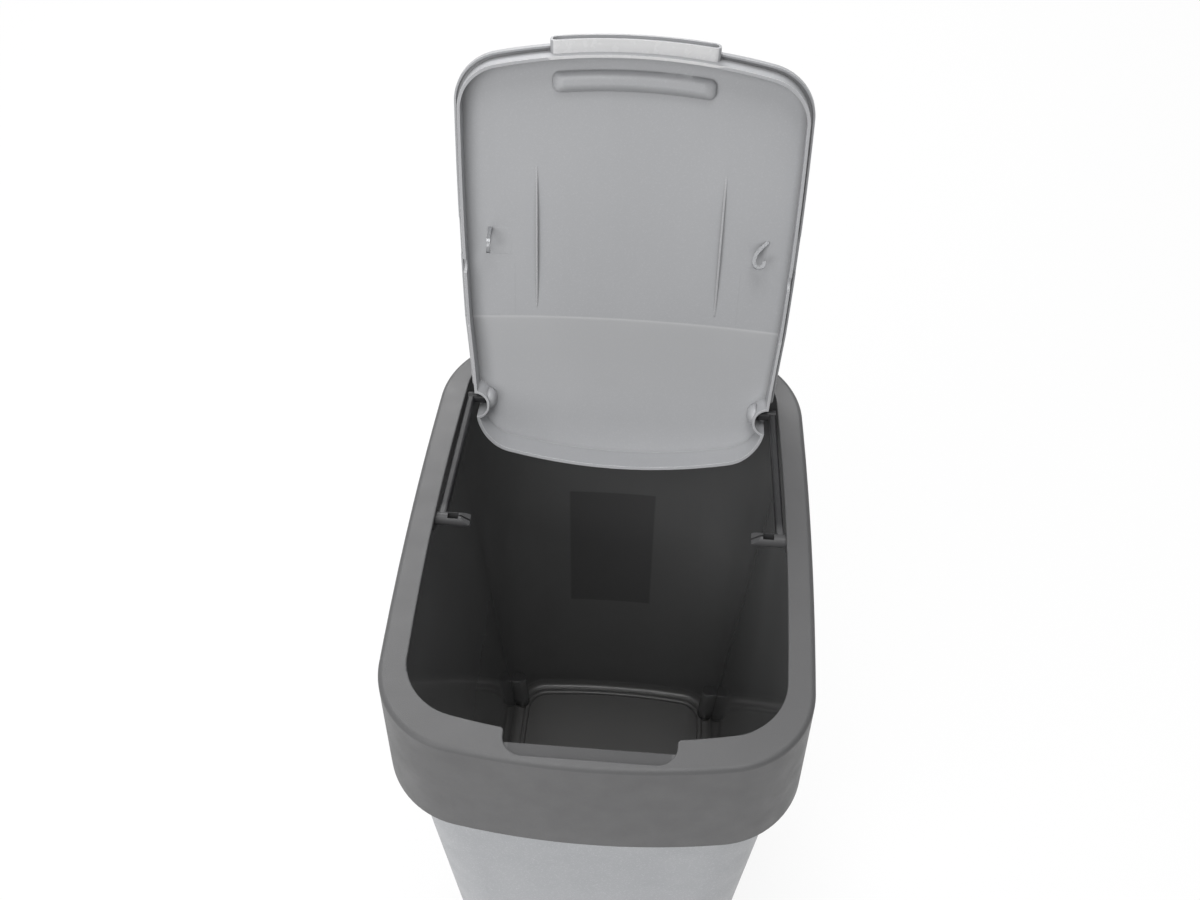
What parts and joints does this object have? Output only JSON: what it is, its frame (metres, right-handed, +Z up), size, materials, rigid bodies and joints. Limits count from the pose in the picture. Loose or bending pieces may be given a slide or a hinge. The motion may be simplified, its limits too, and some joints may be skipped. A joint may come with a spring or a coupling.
{
  "type": "flip-lid trash can",
  "caption": "Tall rounded kitchen bin with a tapered bucket, a lift-off collar and a lid that flips open on two swing arms and also swings.",
  "frame": {"origin": "on the floor, under the middle of the collar, level with the bucket's foot ring", "axes": "+Z up, -Y towards the front where the lid's grip is, +X to the right seen from the front and along the hinges"},
  "size_m": [0.264, 0.3462, 0.7218],
  "materials": {
    "bucket_plastic": "silver-grey outside, glossy dark grey inside",
    "collar_plastic": "satin dark grey",
    "lid_plastic": "satin silver-grey"
  },
  "bodies": {
    "bucket": {"bucket": "bucket_plastic"},
    "collar": {"collar": "collar_plastic"},
    "arms": {"left_swing_arm": "collar_plastic", "right_swing_arm": "collar_plastic"},
    "lid": {"lid": "lid_plastic"}
  },
  "joints": [
    {"name": "collar_lift", "type": "slide", "parent": "bucket", "child": "collar", "axis": [0, 0, 1], "range_m": [0, 0.12]},
    {"name": "swing", "type": "hinge", "parent": "collar", "child": "arms", "pos_m": [0, 0.005, 0.461], "axis": [1, 0, 0], "range_deg": [0, 50]},
    {"name": "flip", "type": "hinge", "parent": "arms", "child": "lid", "pos_m": [0, 0.1118, 0.4629], "axis": [1, 0, 0], "range_deg": [0, 101]}
  ]
}
